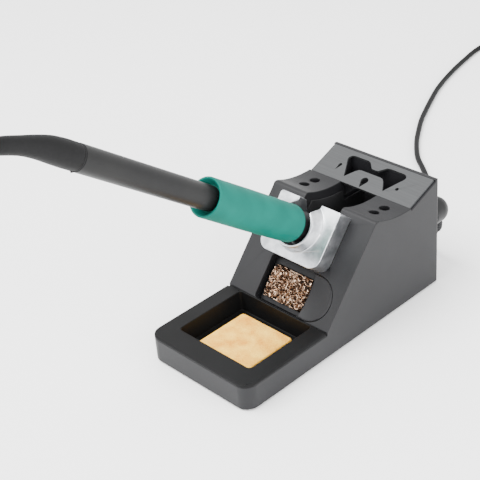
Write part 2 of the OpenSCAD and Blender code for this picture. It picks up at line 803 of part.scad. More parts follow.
// the far end leaves the coil's top turn and comes down to the plug
plug_y = coil_y - 22;
plug_z = 4;
tail_route = [[-100, 412, 6.2], [-100, 408, 5.6], [-100, 404.4, 4.6], [-100, 402, 4]];
module lead_tail() {
    p = smooth(tail_route, 2);
    color("#3c3c3e") sweep(p, [for (q = p) lead_d / 2], 8);
}

// local z runs out of the plug along its pin
module at_plug() {
    translate([tail_route[0][0], plug_y, plug_z]) rotate([90, 0, 0]) children();
}

module plug_boot() {
    color("#1d1d1f") at_plug() rotate_extrude()
        polygon([[0, 0], [lead_d / 2 + 0.5, 0], [3.1, 11], [0, 11]]);
}

module plug_shell() {
    color("#1d1d1f") at_plug() rotate_extrude()
        polygon([[0, 11], [3.6, 11], [4, 11.6], [4, 25.4], [3.4, 26], [0, 26]]);
}

module plug_pin() {
    color("#c9a24a") at_plug() rotate_extrude() polygon([
        [0, 26], [2.6, 26], [2.6, 27], [1.75, 27], [1.75, 37], [1.2, 38], [1.75, 39.4],
        [0.6, 41], [0, 41]
    ]);
}

casing();
base_plate();
ballast();
base_screws();
feet();
sponge_tray();
sponge();
wool_insert();
brass_wool();
iron_holder();
holder_screws();
holder_washers();
heat_liner();
tip_plate();
plate_screws();
gland_body();
gland_locknut();
gland_cap();
gland_boot();
earth_lug();
inner_wire();
handle_shaft();
foam_grip();
front_collar();
contact_block();
contact_springs();
heater_tube();
soldering_tip();
boot_ring();
cable_boot();
lead_tube();
lead_coil();
lead_tail();
plug_boot();
plug_shell();
plug_pin();
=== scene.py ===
import json
import math
import random

import bmesh
import bpy
from bpy.props import FloatProperty, FloatVectorProperty, IntProperty, PointerProperty, StringProperty
from mathutils import Matrix, Vector, noise
from mathutils.bvhtree import BVHTree


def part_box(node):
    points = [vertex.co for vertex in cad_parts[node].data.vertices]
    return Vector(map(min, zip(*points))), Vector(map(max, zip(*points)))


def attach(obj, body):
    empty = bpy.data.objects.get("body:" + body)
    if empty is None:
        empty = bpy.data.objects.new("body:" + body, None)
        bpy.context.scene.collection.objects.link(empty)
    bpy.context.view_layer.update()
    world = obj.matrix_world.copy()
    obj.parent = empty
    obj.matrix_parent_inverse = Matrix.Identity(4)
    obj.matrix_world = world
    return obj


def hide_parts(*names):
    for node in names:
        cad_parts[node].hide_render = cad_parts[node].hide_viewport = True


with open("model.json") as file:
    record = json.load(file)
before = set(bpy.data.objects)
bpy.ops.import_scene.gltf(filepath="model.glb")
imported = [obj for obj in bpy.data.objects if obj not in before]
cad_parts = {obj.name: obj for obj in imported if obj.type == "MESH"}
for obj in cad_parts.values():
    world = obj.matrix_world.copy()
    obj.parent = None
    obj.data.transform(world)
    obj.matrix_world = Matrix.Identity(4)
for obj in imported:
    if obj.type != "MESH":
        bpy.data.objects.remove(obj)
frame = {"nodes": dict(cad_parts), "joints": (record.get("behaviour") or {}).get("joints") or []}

bl_info = {
    "name": "Soldering Station",
    "version": (1, 0, 0),
    "blender": (4, 5, 0),
    "location": "3D View > Sidebar > Station",
    "description": "Finishes a soldering iron station round its packed frame",
    "category": "Add Mesh",
}

MM = 0.001
MERGE = 0.002 * MM                       # corners closer than this are one
NODES = frame["nodes"]


# ---------------------------------------------------------------- places

def corners(node):
    """Lowest and highest corner of a frame node, as vectors."""
    low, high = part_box(node)
    return Vector(low), Vector(high)


def middle(node):
    low, high = corners(node)
    return (low + high) / 2


def axes_of(joint):
    """The direction in which a joint's body slides, as a unit vector."""
    found = next(j for j in frame["joints"] if j["name"] == joint)
    return Vector(found["axis"]).normalized()


def basis(out, right=Vector((1, 0, 0))):
    """Rotation whose local z is out and whose local x is right."""
    z = out.normalized()
    y = z.cross(right).normalized()
    return Matrix((y.cross(z), y, z)).transposed().to_4x4()


OUT_OF_FACE = axes_of("wool_pull")       # square to the sloping face
OUT_OF_HOLDER = axes_of("iron_pull")     # along the iron, away from its tip


# ---------------------------------------------------------------- colours and nodes

def linear(code):
    """Linear red, green, blue and alpha of an sRGB hex value."""
    parts = [int(code[i:i + 2], 16) / 255 for i in (1, 3, 5)]
    return [p / 12.92 if p <= 0.04045 else ((p + 0.055) / 1.055) ** 2.4 for p in parts] + [1.0]


def add_node(tree, kind, settings=(), inputs=()):
    """Adds a node, sets its properties, and sets or links its inputs."""
    made = tree.nodes.new(kind)
    for name, value in dict(settings).items():
        setattr(made, name, value)
    for name, value in dict(inputs).items():
        if isinstance(value, bpy.types.NodeSocket):
            tree.links.new(value, made.inputs[name])
        else:
            made.inputs[name].default_value = value
    return made


def new_material(name, **sockets):
    """A material with its node tree, its shader and the object's own coordinates."""
    made = bpy.data.materials.new(name)
    made.use_nodes = True
    tree = made.node_tree
    shader = tree.nodes["Principled BSDF"]
    for socket, value in sockets.items():
        shader.inputs[socket.replace("_", " ")].default_value = value
    place = add_node(tree, "ShaderNodeTexCoord").outputs["Object"]
    return made, tree, shader, place


def two_tone(tree, shader, pattern, dark, light, low=0.3, high=0.7):
    """Colours the shader from dark to light as pattern goes from low to high."""
    ramp = add_node(tree, "ShaderNodeValToRGB", inputs={"Fac": pattern})
    for stop, place, code in zip(ramp.color_ramp.elements, (low, high), (dark, light)):
        stop.position = place
        stop.color = linear(code)
    tree.links.new(ramp.outputs["Color"], shader.inputs["Base Color"])


def roughen(tree, shader, pattern, low, high):
    """Lets pattern, from 0 to 1, move the roughness from low to high."""
    spread = add_node(tree, "ShaderNodeMapRange", inputs={"Value": pattern, "To Min": low, "To Max": high})
    tree.links.new(spread.outputs["Result"], shader.inputs["Roughness"])


def emboss(tree, shader, height, depth, strength=1.0):
    """Bump of the given real depth, in metres."""
    bump = add_node(tree, "ShaderNodeBump",
                    inputs={"Height": height, "Distance": depth, "Strength": strength})
    tree.links.new(bump.outputs["Normal"], shader.inputs["Normal"])


def grain(tree, place, size, detail=3.0, stretch=None):
    """Noise whose spots are about size metres across, drawn out along stretch."""
    if stretch:
        place = add_node(tree, "ShaderNodeMapping",
                         inputs={"Vector": place, "Scale": stretch}).outputs["Vector"]
    spots = add_node(tree, "ShaderNodeTexNoise",
                     inputs={"Vector": place, "Scale": 1 / size, "Detail": detail})
    return spots.outputs["Fac"]


# ---------------------------------------------------------------- materials

def moulded_abs(name, dark, light, rough=0.45, gloss=0.22):
    """ABS from a spark-eroded mould: a fine even grain that breaks the gloss up."""
    made, tree, shader, place = new_material(name, IOR=1.52)
    shader.inputs["Specular IOR Level"].default_value = gloss
    cloudy = grain(tree, place, 30 * MM)
    two_tone(tree, shader, cloudy, dark, light)
    # the real grain is about 0.1 mm, and is drawn at 0.45 mm so that it shows
    pits = grain(tree, place, 0.45 * MM, detail=2.0)
    roughen(tree, shader, pits, rough - 0.07, rough + 0.1)
    emboss(tree, shader, pits, 0.02 * MM, 0.6)
    return made


def cellulose_sponge():
    """Cellulose sponge: matt, warm, with round open cells of several sizes."""
    made, tree, shader, place = new_material("cellulose_sponge", Roughness=0.9)
    shader.inputs["Specular IOR Level"].default_value = 0.2
    cells = add_node(tree, "ShaderNodeTexVoronoi", {"feature": "F1"},
                     {"Vector": place, "Scale": 1 / (1.3 * MM), "Randomness": 1.0})
    patches = grain(tree, place, 9 * MM, detail=5.0)
    fine = grain(tree, place, 0.7 * MM, detail=4.0)
    blend = add_node(tree, "ShaderNodeMath", {"operation": "MULTIPLY_ADD"},
                     {0: fine, 1: 0.55, 2: patches})
    shade = add_node(tree, "ShaderNodeMath", {"operation": "MULTIPLY"},
                     {0: blend.outputs[0], 1: 0.66})
    two_tone(tree, shader, shade.outputs[0], "#d9902c", "#ffcf58", 0.36, 0.66)
    depth = add_node(tree, "ShaderNodeMath", {"operation": "ADD"},
                     {0: cells.outputs["Distance"], 1: fine})
    emboss(tree, shader, depth.outputs[0], 0.35 * MM, 0.75)
    return made


def brass_ribbon():
    """Brass turnings: bright curled ribbon, browner where flux has dulled it."""
    made, tree, shader, place = new_material("brass_ribbon", Metallic=1.0, Roughness=0.3)
    two_tone(tree, shader, grain(tree, place, 1.6 * MM), "#65452f", "#e6c8ae", 0.4, 0.66)
    roughen(tree, shader, grain(tree, place, 0.9 * MM), 0.14, 0.45)
    return made


def painted_shade_brass_core():
    """Packed brass ribbon in its own shadow, with the shadow painted in: painted shade in a dark brown, and
    matt.
    """
    made, tree, shader, place = new_material("painted_shade_brass_core", Metallic=0.5, Roughness=0.7)
    two_tone(tree, shader, grain(tree, place, 0.8 * MM), "#120a06", "#3a2517")
    return made


def cast_zinc():
    """Zinc casting, tumbled: bright and soft, with slight waves and pits."""
    made, tree, shader, place = new_material("cast_zinc", Metallic=0.95, Roughness=0.35)
    waves = grain(tree, place, 7 * MM)
    two_tone(tree, shader, waves, "#a2a5a9", "#d6d8db", 0.34, 0.66)
    roughen(tree, shader, grain(tree, place, 2.5 * MM), 0.26, 0.34)
    pits = grain(tree, place, 0.8 * MM, detail=4.0)
    both = add_node(tree, "ShaderNodeMath", {"operation": "MULTIPLY_ADD"}, {0: pits, 1: 0.25, 2: waves})
    emboss(tree, shader, both.outputs[0], 0.06 * MM, 0.4)
    return made


def satin_plate():
    """Stainless sheet with a dull satin finish: very faint lines across the stand."""
    made, tree, shader, place = new_material("satin_plate", Metallic=0.6, Roughness=0.5)
    lines = grain(tree, place, 0.5 * MM, detail=2.0, stretch=(0.02, 1, 1))
    two_tone(tree, shader, lines, "#3e3f40", "#464748")
    roughen(tree, shader, lines, 0.46, 0.54)
    emboss(tree, shader, lines, 0.004 * MM, 0.3)
    return made


def painted_shade_liner():
    """Steel sheet in a matt near black that is painted shade of the deep channel, with lighter patches
    greyed by heat.
    """
    made, tree, shader, place = new_material("painted_shade_liner_sheet", Roughness=0.6)
    two_tone(tree, shader, grain(tree, place, 12 * MM), "#0b0b0c", "#18181a")
    roughen(tree, shader, grain(tree, place, 3 * MM), 0.5, 0.72)
    return made


def foam_rubber():
    """Closed-cell foam rubber skin: matt, even, with a faint pebble."""
    made, tree, shader, place = new_material("foam_rubber", Roughness=0.62)
    shader.inputs["Specular IOR Level"].default_value = 0.12
    two_tone(tree, shader, grain(tree, place, 14 * MM), "#00544a", "#005f54")
    # the real cells are about 0.2 mm, and are drawn at 0.6 mm so that they show
    pebble = add_node(tree, "ShaderNodeTexVoronoi", {"feature": "SMOOTH_F1"},
                      {"Vector": place, "Scale": 1 / (0.6 * MM)})
    emboss(tree, shader, pebble.outputs["Distance"], 0.05 * MM, 0.5)
    return made


def soft_rubber(name, dark, light, rough=0.6):
    """Moulded rubber or soft PVC: dark, with a dull even sheen."""
    made, tree, shader, place = new_material(name, IOR=1.5)
    shader.inputs["Specular IOR Level"].default_value = 0.18
    two_tone(tree, shader, grain(tree, place, 10 * MM), dark, light)
    bloom = grain(tree, place, 1.5 * MM, detail=4.0)
    roughen(tree, shader, bloom, rough - 0.08, rough + 0.1)
    emboss(tree, shader, bloom, 0.015 * MM, 0.5)
    return made


def turned_metal(name, dark, light, rough=0.28):
    """Metal from the lathe or press: bright, with fine uneven polish."""
    made, tree, shader, place = new_material(name, Metallic=1.0)
    two_tone(tree, shader, grain(tree, place, 2 * MM), dark, light)
    roughen(tree, shader, grain(tree, place, 0.6 * MM), rough - 0.08, rough + 0.12)
    return made


def steatite():
    """Unglazed steatite: a dense cream ceramic, quite matt."""
    made, tree, shader, place = new_material("steatite", Roughness=0.7)
    two_tone(tree, shader, grain(tree, place, 2 * MM), "#d8d0b8", "#ece6d4")
    return made


def bench_paint():
    """Pale matt paint of the bench top."""
    made, tree, shader, place = new_material("bench_paint", Roughness=0.75)
    shader.inputs["Specular IOR Level"].default_value = 0.2
    two_tone(tree, shader, grain(tree, place, 400 * MM), "#fafafa", "#fdfdfd")
    return made


# ---------------------------------------------------------------- mesh helpers

def to_piece(bm, name, material, body, replaces=(), smooth_below=40):
    """Makes a finished mesh object of bm, smooth where faces meet at a small angle."""
    mesh = bpy.data.meshes.new(name)
    bm.to_mesh(mesh)
    bm.free()
    mesh.materials.clear()
    mesh.materials.append(material)
    mesh.shade_smooth()
    mesh.set_sharp_from_angle(angle=math.radians(smooth_below))
    piece = bpy.data.objects.new(name, mesh)
    bpy.context.scene.collection.objects.link(piece)
    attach(piece, body)
    if replaces:
        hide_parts(*replaces)
    return piece


def paint(nodes, material):
    """Gives frame nodes that keep their own mesh a material."""
    for node in nodes:
        mesh = NODES[node].data
        mesh.materials.clear()
        mesh.materials.append(material)


def merged_copy(node):
    """A frame node's mesh with its vertices merged and its flat faces cut afresh."""
    bm = bmesh.new()
    bm.from_mesh(NODES[node].data)
    bmesh.ops.remove_doubles(bm, verts=bm.verts, dist=MERGE)
    bmesh.ops.dissolve_limit(bm, angle_limit=math.radians(0.5), verts=bm.verts, edges=bm.edges)
    bmesh.ops.triangulate(bm, faces=bm.faces)
    return bm


def flat_regions(bm):
    """Area of the flat region that each face belongs to, by face index."""
    bm.faces.index_update()
    area = {}
    for seed in bm.faces:
        if seed.index in area:
            continue
        region = [seed]
        area[seed.index] = 0
        for face in region:
            for edge in face.edges:
                for other in edge.link_faces:
                    if other.index not in area and other.normal.angle(seed.normal, 1) < 0.01:
                        area[other.index] = 0
                        region.append(other)
        whole = sum(face.calc_area() for face in region)
        for face in region:
            area[face.index] = whole
    return area


def weighted_normals(bm, limit=math.radians(50)):
    """A normal for every face corner, which leans to the largest flat region near it."""
    area = flat_regions(bm)
    normals = []
    for face in bm.faces:
        for vert in face.verts:
            lean = Vector()
            for other in vert.link_faces:
                if other.normal.angle(face.normal, 2) < limit:
                    lean += other.normal * area[other.index]
            normals.append(lean.normalized() if lean.length else face.normal.copy())
    return normals


def eased_copy(node, name, material, body, width, angle=32):
    """A frame node again, with its sharp edges rounded off as in the real piece."""
    bm = merged_copy(node)
    skin = BVHTree.FromBMesh(bm)
    sharp = [e for e in bm.edges if e.calc_face_angle(0) > math.radians(angle)]
    bmesh.ops.bevel(bm, geom=sharp, offset=width, segments=2, profile=0.5, affect="EDGES",
                    loop_slide=True, material=-1, miter_outer="ARC")
    # where short edges meet, a rounding can shoot past its corner: it is set back on the skin
    for vert in bm.verts:
        nearest, _, _, gap = skin.find_nearest(vert.co)
        if gap > width / 2:
            vert.co = nearest
    bmesh.ops.triangulate(bm, faces=[f for f in bm.faces if len(f.verts) > 4])
    bm.normal_update()
    normals = weighted_normals(bm)
    piece = to_piece(bm, name, material, body, (node,), 180)
    piece.data.normals_split_custom_set(normals)
    return piece


def turned(profile, place, steps=64):
    """Spins a profile of (radius, height) points round local z, then sets it in place."""
    bm = bmesh.new()
    verts = [bm.verts.new((r, 0, h)) for r, h in profile]
    edges = [bm.edges.new(pair) for pair in zip(verts, verts[1:])]
    bmesh.ops.spin(bm, geom=verts + edges, axis=(0, 0, 1), cent=(0, 0, 0), angle=math.tau,
                   steps=steps, use_merge=True)
    bmesh.ops.remove_doubles(bm, verts=bm.verts, dist=MERGE)
    bmesh.ops.recalc_face_normals(bm, faces=bm.faces)
    bm.transform(place)
    return bm


def arc(cx, cy, radius, start, end, steps=6):
    """Points of an arc in a profile, angles in degrees."""
    turns = [math.radians(start + (end - start) * i / steps) for i in range(steps + 1)]
    return [(cx + radius * math.cos(t), cy + radius * math.sin(t)) for t in turns]


def flowing(points, steps):
    """A smooth line through given points, with steps to each span."""
    line = []
    last = len(points) - 1
    for i in range(last):
        a, b, c, d = (Vector(points[k]) for k in (max(i - 1, 0), i, i + 1, min(i + 2, last)))
        for k in range(steps):
            t = k / steps
            line.append(0.5 * (2 * b + (c - a) * t + (2 * a - 5 * b + 4 * c - d) * t ** 2
                               + (3 * b - a - 3 * c + d) * t ** 3))
    line.append(Vector(points[last]))
    return line


def hose(line, radii, sides=24):
    """A closed skin round a line, one ring of the given radius at each point."""
    bm = bmesh.new()
    rings = []
    for i, (point, radius) in enumerate(zip(line, radii)):
        along = (line[min(i + 1, len(line) - 1)] - line[max(i - 1, 0)]).normalized()
        side = Vector((1, 0, 0)) if abs(along.x) < 0.9 else Vector((0, 1, 0))
        turn = basis(along, (side - along * side.dot(along)).normalized())
        made = bmesh.ops.create_circle(bm, segments=sides, radius=radius,
                                       matrix=Matrix.Translation(point) @ turn)
        ring = made["verts"]
        rings.append([bm.edges.get((ring[k], ring[(k + 1) % sides])) for k in range(sides)])
    for lower, upper in zip(rings, rings[1:]):
        bmesh.ops.bridge_loops(bm, edges=lower + upper)
    bmesh.ops.holes_fill(bm, edges=rings[0] + rings[-1], sides=0)
    bmesh.ops.recalc_face_normals(bm, faces=bm.faces)
    return bm


# ---------------------------------------------------------------- sizes and colours

class StageSizes(bpy.types.PropertyGroup):
    azimuth: FloatProperty(name="Azimuth", description="Camera's turn round the stand, from the front",
                           default=math.radians(48.247), subtype="ANGLE")
    elevation: FloatProperty(name="Elevation", description="Camera's height angle",
                             default=math.radians(31.624), subtype="ANGLE")
    roll: FloatProperty(name="Roll", description="Camera's tilt", default=math.radians(-5.253),
                        subtype="ANGLE")
    distance: FloatProperty(name="Distance", description="Camera to target", default=0.6758,
                            unit="LENGTH")
    target: FloatVectorProperty(name="Target", description="Point that the camera looks at",
                                default=(-0.0226, -0.0220, 0.0576), subtype="TRANSLATION")
    lens: FloatProperty(name="Lens", description="Focal length in millimetres", default=87.456)
    floor: FloatProperty(name="Floor", description="Side of the floor", default=8.0, unit="LENGTH")
    key: FloatProperty(name="Key light", description="Power of the large soft light in watts", default=42.0)
    fill: FloatProperty(name="Fill light", description="Power of the side light in watts", default=12.0)
    sky: FloatProperty(name="Sky", description="Strength of the even light all round", default=2.1)
    glint: FloatProperty(name="Edge light", description="Power of the narrow light in watts", default=3.0)


class LeadSizes(bpy.types.PropertyGroup):
    diameter: FloatProperty(name="Diameter", description="Thickness of the lead", default=4 * MM,
                            unit="LENGTH")
    gap: FloatProperty(name="Turn gap", description="Distance between turns beside each other",
                       default=4.04 * MM, unit="LENGTH")
    outer_turn: FloatProperty(name="Outer turn", description="Radius of the coil's outer turn",
                              default=26 * MM, unit="LENGTH")
    coil_x: FloatProperty(name="Coil x", description="Middle of the coil", default=-126 * MM, unit="LENGTH")
    coil_y: FloatProperty(name="Coil y", description="Middle of the coil", default=424 * MM, unit="LENGTH")
    low_z: FloatProperty(name="Lower turns", description="Height of the lower turns' middle line",
                         default=2.2 * MM, unit="LENGTH")
    high_z: FloatProperty(name="Upper turns", description="Height of the upper turns' middle line",
                          default=6.24 * MM, unit="LENGTH")
    steps: IntProperty(name="Steps", description="Points in each turn of the coil", default=36, min=12)


class SpongeSizes(bpy.types.PropertyGroup):
    corner: FloatProperty(name="Corner", description="Radius of the upright corners", default=2.2 * MM,
                          unit="LENGTH")
    edge: FloatProperty(name="Edge", description="Rounding of the top edge", default=0.9 * MM,
                        unit="LENGTH")
    crown: FloatProperty(name="Crown", description="Rise of the middle over the edges",
                         default=0.35 * MM, unit="LENGTH")
    lumps: FloatProperty(name="Lumps", description="Height of the uneven swelling", default=0.18 * MM,
                         unit="LENGTH")
    seed: IntProperty(name="Seed", description="Seed of the swelling", default=5)


class WoolSizes(bpy.types.PropertyGroup):
    strands: IntProperty(name="Strands", description="How many ribbons lie in the window", default=270)
    points: IntProperty(name="Points", description="Points along each ribbon", default=26)
    ribbon: FloatProperty(name="Ribbon", description="Half the ribbon's width", default=0.2 * MM,
                          unit="LENGTH")
    curl: FloatProperty(name="Curl", description="Mean radius of a curl", default=1.25 * MM,
                        unit="LENGTH")
    seed: IntProperty(name="Seed", description="Seed of the strands", default=11)


class GripSizes(bpy.types.PropertyGroup):
    nose: FloatProperty(name="Nose", description="Rounding of the front end", default=2.4 * MM,
                        unit="LENGTH")
    lip: FloatProperty(name="Lip", description="Rounding of the open back end", default=0.8 * MM,
                       unit="LENGTH")
    lip_depth: FloatProperty(name="Lip depth", description="Depth of the open back end",
                             default=4 * MM, unit="LENGTH")
    steps: IntProperty(name="Steps", description="Facets round the grip", default=72)


class Finishes(bpy.types.PropertyGroup):
    casing_dark: StringProperty(name="Casing, dark", description="sRGB hex", default="#151517")
    casing_light: StringProperty(name="Casing, light", description="sRGB hex", default="#1b1b1d")
    tray_dark: StringProperty(name="Tray, dark", description="sRGB hex", default="#090909")
    tray_light: StringProperty(name="Tray, light", description="sRGB hex", default="#0f0f10")
    handle_dark: StringProperty(name="Handle, dark", description="sRGB hex", default="#131314")
    handle_light: StringProperty(name="Handle, light", description="sRGB hex", default="#191919")
    ease: FloatProperty(name="Edge", description="Rounding of the casing's edges", default=0.45 * MM,
                        unit="LENGTH")


# ---------------------------------------------------------------- operators

class STATION_OT_stage(bpy.types.Operator):
    """Puts up the floor, the lights and the camera"""
    bl_idname = "station.stage"
    bl_label = "Stage"

    def execute(self, context):
        sizes = context.scene.station_stage
        bm = bmesh.new()
        bmesh.ops.create_grid(bm, x_segments=1, y_segments=1, size=sizes.floor / 2)
        mesh = bpy.data.meshes.new("bench")
        bm.to_mesh(mesh)
        bm.free()
        mesh.materials.append(bench_paint())
        bench = bpy.data.objects.new("bench", mesh)
        context.scene.collection.objects.link(bench)

        world = bpy.data.worlds.new("studio")
        world.use_nodes = True
        sky = world.node_tree.nodes["Background"]
        sky.inputs["Color"].default_value = linear("#ffffff")
        sky.inputs["Strength"].default_value = sizes.sky
        context.scene.world = world

        self.soft_light(context, "key", (-0.35, -0.55, 1.25), 1.1, sizes.key)
        self.soft_light(context, "fill", (1.1, 0.1, 0.6), 0.8, sizes.fill)
        # the narrow light draws the bright line along the sloping face's right edge
        self.soft_light(context, "edge", (0.772, -0.499, 0.393), 0.1, sizes.glint)
        self.camera(context, sizes)
        return {"FINISHED"}

    def soft_light(self, context, name, place, size, power):
        """A square soft box that points at the stand."""
        lamp = bpy.data.lights.new(name, "AREA")
        lamp.size = size
        lamp.energy = power
        made = bpy.data.objects.new(name, lamp)
        made.matrix_world = Matrix.Translation(place) @ basis(Vector(place))
        context.scene.collection.objects.link(made)

    def camera(self, context, sizes):
        """The camera, from its angles round the target."""
        turn, rise = sizes.azimuth, sizes.elevation
        back = Vector((math.sin(turn) * math.cos(rise), -math.cos(turn) * math.cos(rise), math.sin(rise)))
        level = Vector((math.cos(turn), math.sin(turn), 0))
        up = back.cross(level)
        right = level * math.cos(sizes.roll) + up * math.sin(sizes.roll)
        data = bpy.data.cameras.new("camera")
        data.lens = sizes.lens
        data.sensor_width = 36
        data.clip_start = 0.02
        camera = bpy.data.objects.new("camera", data)
        place = Vector(sizes.target) + back * sizes.distance
        camera.matrix_world = Matrix.Translation(place) @ basis(back, right)
        context.scene.collection.objects.link(camera)
        context.scene.camera = camera


class STATION_OT_lead(bpy.types.Operator):
    """Lays the rear lead on the bench, with its stored turns and its plug"""
    bl_idname = "station.lead"
    bl_label = "Rear lead"

    # from the strain relief to the coil, in millimetres
    route = [
        (24.4, 101.7, 23.4), (21.8, 102.8, 18.6), (18, 105, 13.4), (13, 108.6, 8.8), (7, 114, 5),
        (0, 121.4, 3), (-7, 130.4, 2.2), (-15, 144, 2.2), (-26, 161, 2.2),
        (-39, 176, 2.2), (-54, 189.5, 2.2), (-69, 202, 2.2), (-84, 220, 2.2),
        (-96, 238, 2.2), (-105, 253, 2.2), (-113, 269, 2.2), (-121, 286, 2.2),
        (-129, 304, 2.2), (-136, 324, 2.2), (-142, 345, 2.2), (-147, 367, 2.2),
        (-151, 388, 2.2), (-152, 412, 2.2),
    ]
    tail = [(-100, 412, 6.2), (-100, 408, 5.6), (-100, 404.4, 4.6), (-100, 402, 4)]

    def turns(self, sizes):
        """The coil: in along the bench, up at its middle, and out again on top."""
        line = []
        whole = math.radians(1620)        # four and a half turns
        lower = math.radians(720)
        climb = math.radians(90)
        count = round(whole / math.tau * sizes.steps)
        inner = sizes.outer_turn - 2 * sizes.gap
        upper_pitch = (sizes.gap * 2.25) / (whole - lower - climb)
        core = sizes.outer_turn - upper_pitch * (whole - lower - climb)
        for i in range(count + 1):
            turn = whole * i / count
            if turn < lower:
                radius = sizes.outer_turn - sizes.gap * turn / math.tau
                rise = 0
            elif turn < lower + climb:
                part = (turn - lower) / climb
                radius = inner + (core - inner) * part
                rise = part * part * (3 - 2 * part)
            else:
                radius = core + upper_pitch * (turn - lower - climb)
                rise = 1
            angle = math.pi - turn
            line.append(Vector((sizes.coil_x + radius * math.cos(angle),
                                sizes.coil_y + radius * math.sin(angle),
                                sizes.low_z + (sizes.high_z - sizes.low_z) * rise)))
        return line

    def execute(self, context):
        sizes = context.scene.station_lead
        start = [Vector(p) * MM for p in self.route]
        end = [Vector(p) * MM for p in self.tail]
        coil = self.turns(sizes)
        into = flowing(start + coil[:3], 4)[:-8]
        off = flowing(coil[-3:] + end, 4)[8:]
        line = into + coil[1:-1] + off
        curve = bpy.data.curves.new("lead", "CURVE")
        curve.dimensions = "3D"
        curve.bevel_depth = sizes.diameter / 2
        curve.bevel_resolution = 3
        curve.use_fill_caps = True
        strip = curve.splines.new("POLY")
        strip.points.add(len(line) - 1)
        for point, place in zip(strip.points, line):
            point.co = (*place, 1)
        strip.use_smooth = True
        curve.materials.append(soft_rubber("flexible_pvc", "#070708", "#0d0d0e", 0.6))
        lead = bpy.data.objects.new("lead", curve)
        context.scene.collection.objects.link(lead)
        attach(lead, "stand")
        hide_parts("lead_tube", "lead_coil", "lead_tail")
        plug = self.plug()
        return {"FINISHED"}

    def plug(self):
        """The small round plug: ribbed sleeve, moulded shell and metal pin."""
        rubber = soft_rubber("moulded_plug_rubber", "#161618", "#202022")
        low, high = corners("plug_boot")
        spot = middle("plug_boot")
        rise = high.y - low.y
        place = Matrix.Translation((spot.x, high.y, spot.z)) @ basis(Vector((0, -1, 0)))
        base = (high.x - low.x) / 2
        profile = [(0, 0), (base * 0.8, 0)]
        for k in range(5):
            at = rise * (0.06 + k * 0.18)
            girth = base * (0.82 + 0.04 * k)
            profile += [(girth, at), (girth, at + rise * 0.09), (girth * 0.84, at + rise * 0.1),
                        (girth * 0.84, at + rise * 0.17)]
        profile += [(base, rise * 0.97), (base, rise), (0, rise)]
        sleeve = to_piece(turned(profile, place, 32), "plug_sleeve", rubber, "stand",
                          ("plug_boot",))
        shell = eased_copy("plug_shell", "plug_body", rubber, "stand", 0.3 * MM)
        pin = eased_copy("plug_pin", "plug_contact", turned_metal("gilt_brass", "#b78f3c", "#ecca78"),
                         "stand", 0.08 * MM)
        return [sleeve, shell, pin]


class STATION_OT_body(bpy.types.Operator):
    """Finishes the casing, the tray, the wool tub, the base plate and the channel's lining"""
    bl_idname = "station.body"
    bl_label = "Casing and tray"

    def execute(self, context):
        look = context.scene.station_finishes
        casing = moulded_abs("grained_abs", look.casing_dark, look.casing_light)
        tray = moulded_abs("grained_abs_tray", look.tray_dark, look.tray_light, 0.5, 0.12)
        eased_copy("casing", "body_shell", casing, "stand", look.ease)
        eased_copy("sponge_tray", "drop_in_tray", tray, "tray", look.ease)
        eased_copy("wool_insert", "wool_tub", casing, "stand", 0.25 * MM)
        paint(["base_plate"], tray)
        # the channel's lining is coloured near black as painted shade of the deep channel
        eased_copy("heat_liner", "channel_lining", painted_shade_liner(), "stand", 0.12 * MM)
        return {"FINISHED"}


class STATION_OT_sponge(bpy.types.Operator):
    """Makes the wiping sponge"""
    bl_idname = "station.sponge"
    bl_label = "Sponge"

    def execute(self, context):
        sizes = context.scene.station_sponge
        low, high = corners("sponge")
        half = (high - low) / 2
        spot = middle("sponge")
        bm = bmesh.new()
        bmesh.ops.create_cube(bm, size=2)
        bmesh.ops.scale(bm, vec=half - Vector((0, 0, sizes.crown / 2)), verts=bm.verts)
        upright = [e for e in bm.edges if abs(e.verts[0].co.z - e.verts[1].co.z) > half.z]
        bmesh.ops.bevel(bm, geom=upright, offset=sizes.corner, segments=5, affect="EDGES",
                        profile=0.5, material=-1)
        rim = [e for e in bm.edges if min(v.co.z for v in e.verts) > 0]
        bmesh.ops.bevel(bm, geom=rim, offset=sizes.edge, segments=3, affect="EDGES", profile=0.5,
                        material=-1)
        for cut in range(-13, 14):
            for normal in ((1, 0, 0), (0, 1, 0)):
                bmesh.ops.bisect_plane(bm, geom=bm.verts[:] + bm.edges[:] + bm.faces[:],
                                       plane_co=Vector(normal) * cut * half.x / 14, plane_no=normal)
        offset = Vector((sizes.seed, 0, 0))
        for vert in bm.verts:
            share = (1 - (vert.co.x / half.x) ** 4) * (1 - (vert.co.y / half.y) ** 4)
            if vert.co.z > 0:
                swell = noise.noise(vert.co / (6 * MM) + offset)
                vert.co.z += sizes.crown * (share - 0.5) + sizes.lumps * swell * share
            wander = noise.noise(vert.co / (9 * MM) - offset) * sizes.lumps
            vert.co.x -= abs(wander) * math.copysign(1, vert.co.x) * abs(vert.co.x / half.x)
            vert.co.y -= abs(wander) * math.copysign(1, vert.co.y) * abs(vert.co.y / half.y)
        bmesh.ops.translate(bm, vec=spot, verts=bm.verts)
        pad = to_piece(bm, "wiping_sponge", cellulose_sponge(), "sponge", ("sponge",), 60)
        return {"FINISHED"}


